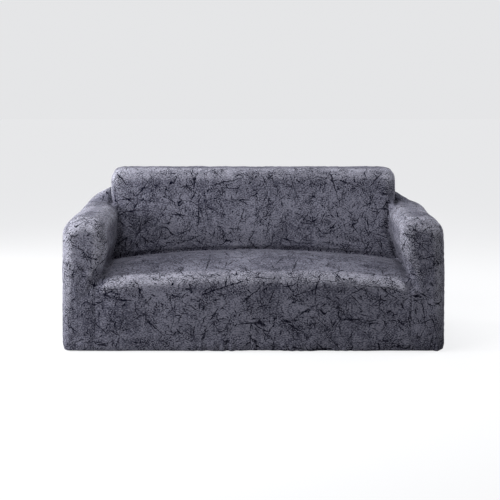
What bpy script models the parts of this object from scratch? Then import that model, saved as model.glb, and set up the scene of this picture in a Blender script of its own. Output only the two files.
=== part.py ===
"""Stretch slipcover for a two-seat sofa, in the shape it takes when it is fitted.

Seven knitted panels, sewn edge to edge, make one hollow cover that is open underneath. The panels are
patches of a single skin: a stepped grid is drawn onto rounded blocks, then pinched, crowned and creased.
Metres, +Z up, the front towards -Y, and the origin in the middle of the hem's plane.
"""

from collections import namedtuple

import bpy
import numpy as np

# Driving dimensions of the fitted cover, over the cloth
WIDTH = 1.700
DEPTH = 0.800
ARM_HEIGHT = 0.597
ARM_WIDTH = 0.202
SEAT_HEIGHT = 0.350
SEAT_DEPTH = 0.548
BACK_HEIGHT = 0.761
BACK_WIDTH = 1.368
BASE_HEIGHT = 0.322
CLOTH = 0.002
SEAM_GAP = 0.0003

# Radii of the blocks that the cloth is stretched over, and of the valleys between them
EDGE_ROUND = 0.056
SEAT_ROUND = 0.046
BACK_ROUND = 0.052
SEAT_VALLEY = 0.018
BACK_VALLEY = 0.008

OUTER_X = WIDTH / 2
ARM_X = OUTER_X - ARM_WIDTH
BACK_X = BACK_WIDTH / 2
FRONT_Y = -DEPTH / 2
REAR_Y = DEPTH / 2
BACK_Y = FRONT_Y + SEAT_DEPTH
FRONT_SEAM = FRONT_Y + EDGE_ROUND
REAR_SEAM = REAR_Y - EDGE_ROUND

# The blocks run on past the hem, and the seat's block into its neighbours
BLOCK_FOOT = -0.200
BLOCK_OVERLAP = 0.010
SETTLING_ROUNDS = 8

# The hem, from its edge under the frame out to the wall's foot
HemRow = namedtuple("HemRow", "drawn_in height")
HEM_ROWS = (HemRow(0.026, 0.007), HemRow(0.017, 0.0015), HemRow(0.008, 0.0), HemRow(0.002, 0.004))
WALL_FOOT = 0.014
HEM_TOP = 0.020

# Arms: drawn in at the seat's height, lower down on the left one, and flared at the foot
Band = namedtuple("Band", "low high")
ARM_PINCH = 0.052
PINCH_BANDS = {-1: Band(0.265, 0.465), 1: Band(0.300, 0.500)}
FLARE = 0.004
FLARE_TOP = 0.350

# Arm tops: they fall away, and a little inwards, over their outer strip
ARM_FALL = 0.020
ARM_FALL_WIDTH = 0.100
ARM_FALL_FROM = 0.300
ARM_FALL_LEAN = 0.35

# Seat: low beside the arms, crowned across its width and full over its depth
SEAT_SIDE_DROP = 0.027
SEAT_CROWN = 0.034
SEAT_CROWN_POWER = 2.4
SEAT_SWELL = 0.038
SWELL_SHARE_AT_ARMS = 0.55
SWELL = Band(-0.370, 0.270)
SEAT_RISES = Band(0.200, 0.320)
SEAT_FADES = Band(SEAT_HEIGHT, 0.420)
SEAT_SIDE_FADES = Band(ARM_X - 0.005, ARM_X + 0.030)

# Back: its front leans away as it rises
BACK_LEAN = 0.050
LEAN_STARTS = Band(-0.020, BACK_Y - 0.020)
LEAN_ENDS = Band(BACK_X - 0.010, BACK_X + 0.030)

# Shoulders: webs of cloth stretched from the back's ends to the arms' rear corners, wider on the left
Shoulder = namedtuple("Shoulder", "width height")
SHOULDERS = {-1: Shoulder(0.150, 0.075), 1: Shoulder(0.085, 0.055)}
SHOULDER_STARTS = Band(BACK_X - 0.055, BACK_X - 0.010)
SHOULDER_DEPTH = Band(REAR_Y - 0.150, REAR_Y - 0.035)
SHOULDER_RISES = Band(ARM_HEIGHT - 0.120, ARM_HEIGHT - 0.010)

# The hem hangs a little lower towards +X
HEM_SLOPE = 0.0015
HEM_SLOPE_FADES = Band(0.050, 0.300)

# Main folds, each along a straight line on the skin. A trough has a height below 0
Fold = namedtuple("Fold", "start end half_width height")
FOLD_END_SHARE = 0.35
FOLDS = (
    # arm tops, across
    Fold((0.67, -0.165, 0.59), (0.84, -0.180, 0.58), 0.016, -0.0045),
    Fold((0.67, -0.120, 0.59), (0.80, -0.130, 0.59), 0.020, 0.0030),
    Fold((-0.69, 0.020, 0.59), (-0.83, -0.010, 0.58), 0.018, -0.0035),
    Fold((-0.68, -0.200, 0.59), (-0.83, -0.230, 0.58), 0.022, 0.0025),
    # outer front corners of the arms
    Fold((0.745, -0.375, 0.575), (0.830, -0.385, 0.535), 0.012, -0.0035),
    Fold((0.760, -0.392, 0.550), (0.835, -0.385, 0.505), 0.012, 0.0025),
    Fold((-0.760, -0.380, 0.570), (-0.835, -0.375, 0.530), 0.014, -0.0030),
    # pulls from the corners where seat, arm and apron meet
    Fold((0.700, -0.392, 0.300), (0.745, -0.400, 0.245), 0.014, -0.0050),
    Fold((-0.700, -0.392, 0.300), (-0.640, -0.400, 0.262), 0.016, -0.0030),
    # long soft pulls on the apron
    Fold((0.600, -0.400, 0.130), (0.850, -0.380, 0.045), 0.024, -0.0035),
    Fold((-0.560, -0.400, 0.120), (-0.850, -0.380, 0.050), 0.022, -0.0035),
    Fold((-0.250, -0.400, 0.060), (0.300, -0.400, 0.045), 0.030, 0.0025),
    # the back, drawn down towards the ends of the crease
    Fold((-0.640, 0.150, 0.390), (-0.420, 0.175, 0.560), 0.030, -0.0040),
    Fold((0.640, 0.150, 0.390), (0.450, 0.175, 0.550), 0.030, -0.0040),
    Fold((-0.120, 0.160, 0.380), (-0.060, 0.175, 0.500), 0.028, -0.0020),
    # the panel behind
    Fold((-0.700, 0.400, 0.640), (-0.420, 0.400, 0.330), 0.034, -0.0050),
    Fold((0.700, 0.400, 0.640), (0.460, 0.400, 0.360), 0.034, -0.0050),
    Fold((-0.300, 0.400, 0.080), (0.360, 0.400, 0.110), 0.040, 0.0035),
    # the outer sides, from the arms' ends down
    Fold((0.850, -0.290, 0.480), (0.850, -0.060, 0.200), 0.030, -0.0040),
    Fold((-0.850, -0.300, 0.470), (-0.850, -0.040, 0.190), 0.030, -0.0040),
    Fold((0.850, 0.300, 0.500), (0.850, 0.120, 0.230), 0.030, -0.0035),
    Fold((-0.850, 0.310, 0.500), (-0.850, 0.100, 0.240), 0.030, -0.0035),
)

# Grid lines: equal steps up to each stop, from the middle outwards, from the front, and from the hem
Run = namedtuple("Run", "stop steps")
X_RUNS = (Run(0.50, 2), Run(ARM_X, 3), Run(BACK_X, 2), Run(0.79, 2), Run(OUTER_X, 3))
Y_RUNS = (Run(FRONT_SEAM, 3), Run(-0.09, 2), Run(0.10, 2), Run(BACK_Y, 1), Run(0.20, 2), Run(REAR_SEAM, 2))
Y_RUNS += (Run(REAR_Y, 3),)
Z_RUNS = (Run(0.26, 2), Run(SEAT_HEIGHT, 3), Run(0.40, 1), Run(0.54, 2), Run(ARM_HEIGHT, 3), Run(0.71, 2))
Z_RUNS += (Run(BACK_HEIGHT, 3),)

CLOTH_COLOUR = (0.092, 0.088, 0.118, 1.0)
CLOTH_ROUGHNESS = 0.85
SHARP_EDGE = np.radians(50)


def smoothstep(band, value):
    """0 below the band, 1 above it, and an even rise between."""
    t = np.clip((value - band.low) / (band.high - band.low), 0, 1)
    return t * t * (3 - 2 * t)


def grid_lines(start, runs):
    """Line positions from start, in equal steps up to each stop."""
    lines = [start]
    for run in runs:
        lines += list(np.linspace(lines[-1], run.stop, run.steps + 1)[1:])
    return np.array(lines)


def rounded_block(points, low, high, rounding):
    """Distance from points to a box with rounded edges, below zero inside."""
    low, high = np.array(low), np.array(high)
    q = np.abs(points - (low + high) / 2) - (high - low) / 2 + rounding
    return np.linalg.norm(np.maximum(q, 0), axis=1) + np.minimum(q.max(axis=1), 0) - rounding


def joined(a, b, softness):
    """The union of two distances, with a soft valley where they meet."""
    h = np.maximum(softness - np.abs(a - b), 0) / softness
    return np.minimum(a, b) - h * h * softness / 4


def form(points):
    """Distance to the straight blocks of the sofa's shape: base, arms, seat and back."""
    folded = np.column_stack([np.abs(points[:, 0]), points[:, 1:]])
    front = (-OUTER_X, FRONT_Y, BLOCK_FOOT)
    base = rounded_block(folded, front, (OUTER_X, REAR_Y, BASE_HEIGHT), EDGE_ROUND)
    arm = rounded_block(folded, (ARM_X, FRONT_Y, BLOCK_FOOT), (OUTER_X, REAR_Y, ARM_HEIGHT), EDGE_ROUND)
    seat_end = (ARM_X + BLOCK_OVERLAP, BACK_Y + BLOCK_OVERLAP, SEAT_HEIGHT)
    seat = rounded_block(folded, front, seat_end, SEAT_ROUND)
    back = rounded_block(folded, (-OUTER_X, BACK_Y, BLOCK_FOOT), (BACK_X, REAR_Y, BACK_HEIGHT), BACK_ROUND)
    return np.minimum(base, joined(joined(arm, seat, SEAT_VALLEY), back, BACK_VALLEY))


def slope(field, points):
    """The gradient of a distance field."""
    step = 1e-4
    rises = [field(points + step * axis) - field(points - step * axis) for axis in np.eye(3)]
    return np.column_stack(rises) / (2 * step)


def settled(points):
    """Points of the stepped grid drawn onto the blocks."""
    for _ in range(SETTLING_ROUNDS):
        rise = slope(form, points)
        points = points - (form(points) / (rise * rise).sum(axis=1))[:, None] * rise
    return points


def pulled(points):
    """The straight form with its arms pinched, its seat crowned, its back leaning and its shoulders up."""
    x, y, z = points.T
    side = np.sign(x)
    reach = np.abs(x)

    # Arms
    narrowing = np.where(side < 0, smoothstep(PINCH_BANDS[-1], z), smoothstep(PINCH_BANDS[1], z))
    share = np.where(reach < ARM_X, (reach / ARM_X) ** 2, (OUTER_X - reach) / ARM_WIDTH)
    moved_x = x + side * ARM_PINCH * (1 - narrowing) * np.clip(share, 0, 1)
    moved_x += side * FLARE * (1 - smoothstep(Band(0, FLARE_TOP), z)) * (reach / OUTER_X) ** 4
    fall = ARM_FALL * smoothstep(Band(OUTER_X - ARM_FALL_WIDTH, OUTER_X), reach)
    fall *= smoothstep(Band(ARM_FALL_FROM, ARM_HEIGHT), z)
    moved_x -= side * fall * ARM_FALL_LEAN

    # Seat
    on_seat = smoothstep(SEAT_RISES, z) * (1 - smoothstep(SEAT_FADES, z))
    on_seat *= 1 - smoothstep(SEAT_SIDE_FADES, reach)
    across = 1 - np.clip(reach / ARM_X, 0, 1) ** SEAT_CROWN_POWER
    along = np.sin(np.pi * np.clip((y - SWELL.low) / (SWELL.high - SWELL.low), 0, 1))
    swell = SEAT_SWELL * along * (SWELL_SHARE_AT_ARMS + (1 - SWELL_SHARE_AT_ARMS) * across)
    moved_z = z + on_seat * (SEAT_CROWN * across - SEAT_SIDE_DROP + swell) - fall

    # Back
    lean = BACK_LEAN * smoothstep(Band(SEAT_HEIGHT, BACK_HEIGHT), z)
    front_share = np.clip((REAR_Y - y) / (REAR_Y - BACK_Y), 0, 1)
    moved_y = y + lean * front_share * smoothstep(LEAN_STARTS, y) * (1 - smoothstep(LEAN_ENDS, reach))

    # Shoulders
    stretch = smoothstep(SHOULDER_STARTS, reach) * smoothstep(SHOULDER_DEPTH, y) * smoothstep(SHOULDER_RISES, z)
    stretch *= np.clip((BACK_HEIGHT - z) / (BACK_HEIGHT - ARM_HEIGHT), 0, 1)
    for shoulder_side, shoulder in SHOULDERS.items():
        climb = np.clip((BACK_X + shoulder.width - reach) / shoulder.width, 0, 1)
        moved_z += shoulder.height * climb * stretch * (side == shoulder_side)

    # Hem
    moved_z -= HEM_SLOPE * (x / OUTER_X) * (1 - smoothstep(HEM_SLOPE_FADES, z)) * (z > HEM_TOP)
    return np.column_stack([moved_x, moved_y, moved_z])


def creased(points, normals):
    """The main folds, as soft troughs and ridges that fade towards their ends."""
    height = np.zeros(len(points))
    for fold in FOLDS:
        start = np.array(fold.start)
        run = np.array(fold.end) - start
        t = np.clip((points - start) @ run / (run @ run), 0, 1)
        away = np.linalg.norm(points - start - t[:, None] * run, axis=1)
        fade = FOLD_END_SHARE + (1 - FOLD_END_SHARE) * np.sin(np.pi * t)
        height += fold.height * np.exp(-((away / fold.half_width) ** 2)) * fade
    return points + height[:, None] * normals


def in_sofa(x, y, z):
    """Whether a cell of the grid, given by its middle, lies in the stepped form."""
    if z < SEAT_HEIGHT:
        return True
    if y > BACK_Y and abs(x) < BACK_X:
        return z < BACK_HEIGHT
    return abs(x) > ARM_X and z < ARM_HEIGHT


def panel_of(x, y, z):
    """The panel that the patch of the stepped grid with this middle is cut from."""
    on_line = 1e-6
    side = "right" if x > 0 else "left"
    if y > REAR_SEAM:
        return "outside_back"
    if z > SEAT_HEIGHT and y > BACK_Y - on_line and abs(x) < BACK_X + on_line:
        return "inside_back"
    if abs(x) < ARM_X - on_line:
        return "seat_and_apron"
    return f"arm_front_{side}" if y < FRONT_SEAM else f"arm_wrap_{side}"


def skin():
    """The stepped grid's outside: its points, which of them are at the foot, its patches and their panels."""
    half = grid_lines(0.0, X_RUNS)
    lines = (
        np.concatenate([-half[:0:-1], half]),
        grid_lines(FRONT_Y, Y_RUNS),
        grid_lines(WALL_FOOT, Z_RUNS),
    )
    counts = [len(along) - 1 for along in lines]

    def middle_of(cell):
        return [(lines[i][cell[i]] + lines[i][cell[i] + 1]) / 2 for i in range(3)]

    def filled(cell):
        # Below the foot the form goes on, so the cover stays open underneath
        if not all(0 <= cell[i] < counts[i] for i in (0, 1)):
            return False
        return cell[2] < 0 or (cell[2] < counts[2] and in_sofa(*middle_of(cell)))

    number = {}
    patches = []
    panels = []
    corners = ((0, 0), (1, 0), (1, 1), (0, 1))
    for cell in np.ndindex(*counts):
        if not filled(cell):
            continue
        for axis in range(3):
            u, v = (axis + 1) % 3, (axis + 2) % 3
            for way in (-1, 1):
                beside = list(cell)
                beside[axis] += way
                if filled(beside):
                    continue
                patch = []
                for du, dv in corners if way > 0 else corners[::-1]:
                    corner = list(cell)
                    corner[axis] += way > 0
                    corner[u] += du
                    corner[v] += dv
                    patch.append(number.setdefault(tuple(corner), len(number)))
                patches.append(patch)
                middle = middle_of(cell)
                middle[axis] = lines[axis][cell[axis] + (way > 0)]
                panels.append(panel_of(*middle))
    points = np.array([[lines[i][corner[i]] for i in range(3)] for corner in number])
    at_foot = np.array([corner[2] == 0 for corner in number])
    return points, at_foot, patches, panels


def with_hem(points, at_foot, patches, panels):
    """The wall's foot carried on, down and under, as the drawn-in hem."""
    outward = slope(form, points)
    outward[:, 2] = 0
    outward[at_foot] /= np.linalg.norm(outward[at_foot], axis=1)[:, None]
    foot_edges = {}
    for patch, panel in zip(patches, panels):
        for a, b in zip(patch, patch[1:] + patch[:1]):
            if at_foot[a] and at_foot[b]:
                foot_edges[(a, b)] = panel
    ring = np.flatnonzero(at_foot)
    row_above = {vertex: vertex for vertex in ring}
    rows = [points]
    count = len(points)
    for hem_row in HEM_ROWS[::-1]:
        row = points[ring] - hem_row.drawn_in * outward[ring]
        row[:, 2] = hem_row.height
        rows.append(row)
        row_below = {vertex: count + i for i, vertex in enumerate(ring)}
        for (a, b), panel in foot_edges.items():
            patches.append([row_above[b], row_above[a], row_below[a], row_below[b]])
            panels.append(panel)
        row_above = row_below
        count += len(ring)
    return np.concatenate(rows)


def skin_normals(points, patches):
    """Normals of the whole skin, which the panels on both sides of a seam share."""
    normals = np.zeros_like(points)
    for patch in patches:
        a, b, c, d = points[patch]
        normals[patch] += np.cross(c - a, d - b)
    return normals / np.linalg.norm(normals, axis=1)[:, None]


def drawn_back(points, normals, rim):
    """Points with each cut edge drawn back from its seam, by a little over half of the gap."""
    inward = np.zeros_like(points)
    for a, b in rim:
        across = np.cross(normals[a] + normals[b], points[b] - points[a])
        inward[[a, b]] += across / np.linalg.norm(across)
    length = np.linalg.norm(inward, axis=1)
    on_rim = length > 0
    inward[on_rim] /= length[on_rim, None]
    return points + inward * SEAM_GAP * 0.6


def cut_panel(name, points, normals, patches, collection, material):
    """One panel as a closed sheet: its outer face, its inner face and the cut edge between them."""
    used = sorted({vertex for patch in patches for vertex in patch})
    place = {vertex: i for i, vertex in enumerate(used)}
    faces = [[place[vertex] for vertex in patch] for patch in patches]
    edges = {(a, b) for face in faces for a, b in zip(face, face[1:] + face[:1])}
    rim = sorted((a, b) for a, b in edges if (b, a) not in edges)
    outer = drawn_back(points[used], normals[used], rim)
    inner = outer - CLOTH * normals[used]

    count = len(used)
    faces += [[vertex + count for vertex in face[::-1]] for face in faces]
    for a, b in rim:
        # Both panels at a seam split its cut edge along the same diagonal, so their gap stays even
        if used[a] < used[b]:
            faces += [[b, a, b + count], [a, a + count, b + count]]
        else:
            faces += [[b, a, a + count], [b, a + count, b + count]]
    mesh = bpy.data.meshes.new(name)
    mesh.from_pydata(np.concatenate([outer, inner]).tolist(), [], faces)
    mesh.materials.append(material)
    mesh.shade_smooth()
    mesh.set_sharp_from_angle(angle=SHARP_EDGE)
    collection.objects.link(bpy.data.objects.new(name, mesh))


def cloth_material(name):
    """Grey-violet knitted cloth."""
    material = bpy.data.materials.new(name)
    material.use_nodes = True
    shader = material.node_tree.nodes["Principled BSDF"]
    shader.inputs["Base Color"].default_value = CLOTH_COLOUR
    shader.inputs["Roughness"].default_value = CLOTH_ROUGHNESS
    shader.inputs["Metallic"].default_value = 0.0
    return material


for old in list(bpy.data.objects):
    bpy.data.objects.remove(old, do_unlink=True)

cover = bpy.data.collections.new("sofa_slipcover")
bpy.context.scene.collection.children.link(cover)

grid, at_foot, patches, panels = skin()
drawn = settled(grid)
drawn[at_foot, 2] = WALL_FOOT
shaped = pulled(with_hem(drawn, at_foot, patches, panels))
shaped = creased(shaped, skin_normals(shaped, patches))

# The hem's plane and the middle of the cover are the origin
shaped -= (shaped.max(axis=0) + shaped.min(axis=0)) / 2 * (1, 1, 0)
shaped[:, 2] -= shaped[:, 2].min()
normals = skin_normals(shaped, patches)

for name in sorted(set(panels)):
    own = [patch for patch, panel in zip(patches, panels) if panel == name]
    cut_panel(name, shaped, normals, own, cover, cloth_material(name + "_cloth"))
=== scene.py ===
"""Looks of a stretch sofa slipcover in its fitted shape, built around its packed panels.

The cover is one knitted skin, cut into seven panels. The skin is drawn first, over the same blocks as the
solid panels. Each panel's own creases are pulled into it next, then the panels are cut out and sewn.
Metres, +Z up, the front towards -Y, left is -X. Panels carry a flat map in metres for the print and knit.
"""

from collections import namedtuple

import bpy
import numpy as np
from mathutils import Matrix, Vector
from mathutils.kdtree import KDTree


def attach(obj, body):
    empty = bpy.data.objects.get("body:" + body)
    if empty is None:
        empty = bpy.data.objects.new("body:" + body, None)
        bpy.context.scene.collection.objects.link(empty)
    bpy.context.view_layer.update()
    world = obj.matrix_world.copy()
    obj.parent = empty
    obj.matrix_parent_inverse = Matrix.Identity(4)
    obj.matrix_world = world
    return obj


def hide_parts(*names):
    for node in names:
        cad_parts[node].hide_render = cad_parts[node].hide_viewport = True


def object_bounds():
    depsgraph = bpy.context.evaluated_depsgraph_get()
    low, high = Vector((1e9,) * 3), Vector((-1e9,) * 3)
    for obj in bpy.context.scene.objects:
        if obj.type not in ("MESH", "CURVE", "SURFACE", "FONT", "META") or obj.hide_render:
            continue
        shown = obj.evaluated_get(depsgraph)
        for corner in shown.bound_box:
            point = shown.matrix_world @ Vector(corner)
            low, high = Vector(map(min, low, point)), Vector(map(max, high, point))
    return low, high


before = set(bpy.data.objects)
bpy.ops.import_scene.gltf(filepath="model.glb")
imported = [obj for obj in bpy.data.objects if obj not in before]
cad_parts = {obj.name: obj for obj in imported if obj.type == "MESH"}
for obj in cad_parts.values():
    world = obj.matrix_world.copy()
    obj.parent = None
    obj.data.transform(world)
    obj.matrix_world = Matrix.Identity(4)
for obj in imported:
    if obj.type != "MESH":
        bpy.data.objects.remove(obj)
cad_low, cad_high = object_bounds()
bpy.ops.object.select_all(action="DESELECT")


# ---- The skin that all the panels are cut from ------------------------------------------------------
# Polyester jersey with elastane, stretched to fit broad arms and a low back. It bridges the valleys, rides
# up at the shoulders and is drawn in underneath by its elastic hem.

Band = namedtuple("Band", "low high")
HemRow = namedtuple("HemRow", "drawn_in height")
Shoulder = namedtuple("Shoulder", "width height")

OUTER_X = 0.850
ARM_WIDTH = 0.202
BACK_X = 0.684
FRONT_Y, BACK_Y, REAR_Y = -0.400, 0.148, 0.400
BASE_HEIGHT, SEAT_HEIGHT, ARM_HEIGHT, BACK_HEIGHT = 0.322, 0.350, 0.597, 0.761
EDGE_ROUND, SEAT_ROUND, BACK_ROUND = 0.056, 0.046, 0.052
SEAT_VALLEY, BACK_VALLEY = 0.018, 0.008
ARM_X = OUTER_X - ARM_WIDTH
FRONT_SEAM = FRONT_Y + EDGE_ROUND
REAR_SEAM = REAR_Y - EDGE_ROUND
BLOCK_FOOT = -0.200
BLOCK_OVERLAP = 0.010
SETTLING_ROUNDS = 8

HEM_ROWS = (HemRow(0.026, 0.007), HemRow(0.017, 0.0015), HemRow(0.008, 0.0), HemRow(0.002, 0.004))
HEM_STEP = 0.004
SKIRT_DRAWN_IN, SKIRT_HEIGHT, SKIRT_POWER = 0.0045, 0.040, 1.5
LEAST_SIDEWAYS = 0.5
WALL_FOOT = 0.014
HEM_TOP = 0.020
HEM_SLOPE, HEM_SLOPE_FADES = 0.0015, Band(0.050, 0.300)

ARM_PINCH = 0.052
PINCH_BANDS = {-1: Band(0.265, 0.465), 1: Band(0.300, 0.500)}
FLARE, FLARE_TOP, FLARE_POWER = 0.004, 0.350, 4
ARM_FALL, ARM_FALL_WIDTH, ARM_FALL_FROM, ARM_FALL_LEAN = 0.020, 0.100, 0.300, 0.35
SEAT_SIDE_DROP, SEAT_CROWN, SEAT_CROWN_POWER = 0.027, 0.034, 2.4
SEAT_SWELL, SWELL_SHARE_AT_ARMS, SWELL = 0.038, 0.55, Band(-0.370, 0.270)
SEAT_RISES, SEAT_FADES = Band(0.200, 0.320), Band(SEAT_HEIGHT, 0.420)
SEAT_SIDE_FADES = Band(ARM_X - 0.005, ARM_X + 0.030)
BACK_LEAN = 0.050
LEAN_STARTS, LEAN_ENDS = Band(-0.020, BACK_Y - 0.020), Band(BACK_X - 0.010, BACK_X + 0.030)
SHOULDERS = {-1: Shoulder(0.150, 0.075), 1: Shoulder(0.085, 0.055)}
SHOULDER_STARTS = Band(BACK_X - 0.055, BACK_X - 0.010)
SHOULDER_DEPTH = Band(REAR_Y - 0.150, REAR_Y - 0.035)
SHOULDER_RISES = Band(ARM_HEIGHT - 0.120, ARM_HEIGHT - 0.010)

GRID_STEP = 0.006
SEAM_STEP = 0.004
RELAX_ROUNDS = 6
RELAX_SHARE = 0.5
SAME = 1e-6
SLOPE_STEP = 1e-4


def smoothstep(low, high, value):
    """0 below low, 1 above high, and an eased rise between."""
    t = np.clip((value - low) / (high - low), 0, 1)
    return t * t * (3 - 2 * t)


def beside(seam):
    """A seam's own grid line and the two close to it, between which its groove lies."""
    return [seam - SEAM_STEP, seam, seam + SEAM_STEP]


def grid_lines(start, stops):
    """Line positions from start through every stop, in even steps near GRID_STEP."""
    lines = [start]
    for stop in stops:
        steps = max(1, round((stop - lines[-1]) / GRID_STEP))
        lines += list(np.linspace(lines[-1], stop, steps + 1)[1:])
    return np.array(lines)


def rounded_block(points, low, high, rounding):
    """Distance from points to a box with rounded edges, below zero inside."""
    low, high = np.array(low), np.array(high)
    q = np.abs(points - (low + high) / 2) - (high - low) / 2 + rounding
    return np.linalg.norm(np.maximum(q, 0), axis=1) + np.minimum(q.max(axis=1), 0) - rounding


def joined(a, b, softness):
    """The union of two distances, with a soft valley where they meet."""
    h = np.maximum(softness - np.abs(a - b), 0) / softness
    return np.minimum(a, b) - h * h * softness / 4


def form(points):
    """Distance to the straight blocks of the fitted shape: base, arms, seat and back."""
    folded = np.column_stack([np.abs(points[:, 0]), points[:, 1:]])
    front = (-OUTER_X, FRONT_Y, BLOCK_FOOT)
    base = rounded_block(folded, front, (OUTER_X, REAR_Y, BASE_HEIGHT), EDGE_ROUND)
    arm = rounded_block(folded, (ARM_X, FRONT_Y, BLOCK_FOOT), (OUTER_X, REAR_Y, ARM_HEIGHT), EDGE_ROUND)
    seat_end = (ARM_X + BLOCK_OVERLAP, BACK_Y + BLOCK_OVERLAP, SEAT_HEIGHT)
    seat = rounded_block(folded, front, seat_end, SEAT_ROUND)
    back = rounded_block(folded, (-OUTER_X, BACK_Y, BLOCK_FOOT), (BACK_X, REAR_Y, BACK_HEIGHT), BACK_ROUND)
    return np.minimum(base, joined(joined(arm, seat, SEAT_VALLEY), back, BACK_VALLEY))


def slope(field, points):
    """The gradient of a distance field."""
    steps = SLOPE_STEP * np.eye(3)
    rises = [field(points + step) - field(points - step) for step in steps]
    return np.column_stack(rises) / (2 * SLOPE_STEP)


def settled(points):
    """Points of the stepped grid drawn onto the blocks."""
    for _ in range(SETTLING_ROUNDS):
        rise = slope(form, points)
        points = points - (form(points) / (rise * rise).sum(axis=1))[:, None] * rise
    return points


def pulled(points):
    """The blocks with arms pinched, seat crowned, back leaning and shoulders up, as the solids have them."""
    x, y, z = points.T
    side, reach = np.sign(x), np.abs(x)

    narrowing = np.where(side < 0, smoothstep(*PINCH_BANDS[-1], z), smoothstep(*PINCH_BANDS[1], z))
    share = np.where(reach < ARM_X, (reach / ARM_X) ** 2, (OUTER_X - reach) / ARM_WIDTH)
    moved_x = x + side * ARM_PINCH * (1 - narrowing) * np.clip(share, 0, 1)
    moved_x += side * FLARE * (1 - smoothstep(0, FLARE_TOP, z)) * (reach / OUTER_X) ** FLARE_POWER
    fall = ARM_FALL * smoothstep(OUTER_X - ARM_FALL_WIDTH, OUTER_X, reach)
    fall *= smoothstep(ARM_FALL_FROM, ARM_HEIGHT, z)
    moved_x -= side * fall * ARM_FALL_LEAN

    on_seat = smoothstep(*SEAT_RISES, z) * (1 - smoothstep(*SEAT_FADES, z))
    on_seat *= 1 - smoothstep(*SEAT_SIDE_FADES, reach)
    across = 1 - np.clip(reach / ARM_X, 0, 1) ** SEAT_CROWN_POWER
    along = np.sin(np.pi * np.clip((y - SWELL.low) / (SWELL.high - SWELL.low), 0, 1))
    swell = SEAT_SWELL * along * (SWELL_SHARE_AT_ARMS + (1 - SWELL_SHARE_AT_ARMS) * across)
    moved_z = z + on_seat * (SEAT_CROWN * across - SEAT_SIDE_DROP + swell) - fall

    on_back = smoothstep(*LEAN_STARTS, y) * (1 - smoothstep(*LEAN_ENDS, reach))
    front_share = np.clip((REAR_Y - y) / (REAR_Y - BACK_Y), 0, 1)
    moved_y = y + BACK_LEAN * smoothstep(SEAT_HEIGHT, BACK_HEIGHT, z) * front_share * on_back

    stretch = smoothstep(*SHOULDER_STARTS, reach) * smoothstep(*SHOULDER_DEPTH, y)
    stretch *= smoothstep(*SHOULDER_RISES, z)
    stretch *= np.clip((BACK_HEIGHT - z) / (BACK_HEIGHT - ARM_HEIGHT), 0, 1)
    for shoulder_side, shoulder in SHOULDERS.items():
        climb = np.clip((BACK_X + shoulder.width - reach) / shoulder.width, 0, 1)
        moved_z += shoulder.height * climb * stretch * (side == shoulder_side)

    moved_z -= HEM_SLOPE * (x / OUTER_X) * (1 - smoothstep(*HEM_SLOPE_FADES, z)) * (z > HEM_TOP)
    return np.column_stack([moved_x, moved_y, moved_z])


def in_form(x, y, z):
    """Which cells of the grid lie in the stepped form."""
    reach = np.abs(x)
    back = (y > BACK_Y) & (reach < BACK_X) & (z < BACK_HEIGHT)
    arm = (reach > ARM_X) & (z < ARM_HEIGHT)
    return (z < SEAT_HEIGHT) | back | arm


def panels_of(middles):
    """The panel that each patch of the stepped grid is cut from."""
    x, y, z = middles.T
    reach = np.abs(x)
    side = np.where(x > 0, "right", "left")
    on_back = (z > SEAT_HEIGHT) & (y > BACK_Y - SAME) & (reach < BACK_X + SAME)
    where = [y > REAR_SEAM, on_back, reach < ARM_X - SAME, y < FRONT_SEAM]
    names = ["outside_back", "inside_back", "seat_and_apron", np.char.add("arm_front_", side)]
    return np.select(where, names, np.char.add("arm_wrap_", side))


def stepped_skin(lines):
    """The outside of the stepped form: points, patches, each patch's panel, and the axis and way it faces.

    It is open below: the layer under the grid counts as filled, and its own sides are dropped.
    """
    middles = [(along[1:] + along[:-1]) / 2 for along in lines]
    solid = np.pad(in_form(*np.meshgrid(*middles, indexing="ij")), 1)
    solid[1:-1, 1:-1, 0] = True
    square = np.array([(0, 0), (1, 0), (1, 1), (0, 1)])
    loops, faces = [], []
    for axis in range(3):
        u, v = (axis + 1) % 3, (axis + 2) % 3
        for way in (-1, 1):
            cells = np.argwhere(solid & ~np.roll(solid, -way, axis)) - 1
            cells = cells[cells[:, 2] >= 0]
            loop = np.repeat(cells[:, None], 4, axis=1)
            loop[:, :, [u, v]] += square[::way]
            loop[:, :, axis] += way > 0
            loops.append(loop)
            faces.append(np.tile((axis, way), (len(cells), 1)))
    loops, faces = np.concatenate(loops), np.concatenate(faces)
    corners, patches = np.unique(loops.reshape(-1, 3), axis=0, return_inverse=True)
    points = np.column_stack([lines[i][corners[:, i]] for i in range(3)])
    patches = patches.reshape(-1, 4)
    return points, patches, panels_of(points[patches].mean(axis=1)), faces


half = grid_lines(0.0, beside(ARM_X) + beside(BACK_X) + [OUTER_X])
grid = (
    np.concatenate([-half[:0:-1], half]),
    grid_lines(FRONT_Y, beside(FRONT_SEAM) + beside(BACK_Y) + beside(REAR_SEAM) + [REAR_Y]),
    grid_lines(WALL_FOOT, beside(SEAT_HEIGHT) + beside(ARM_HEIGHT) + [BACK_HEIGHT]),
)
stepped, patches, panel_names, facing = stepped_skin(grid)
skin = settled(stepped)

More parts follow.
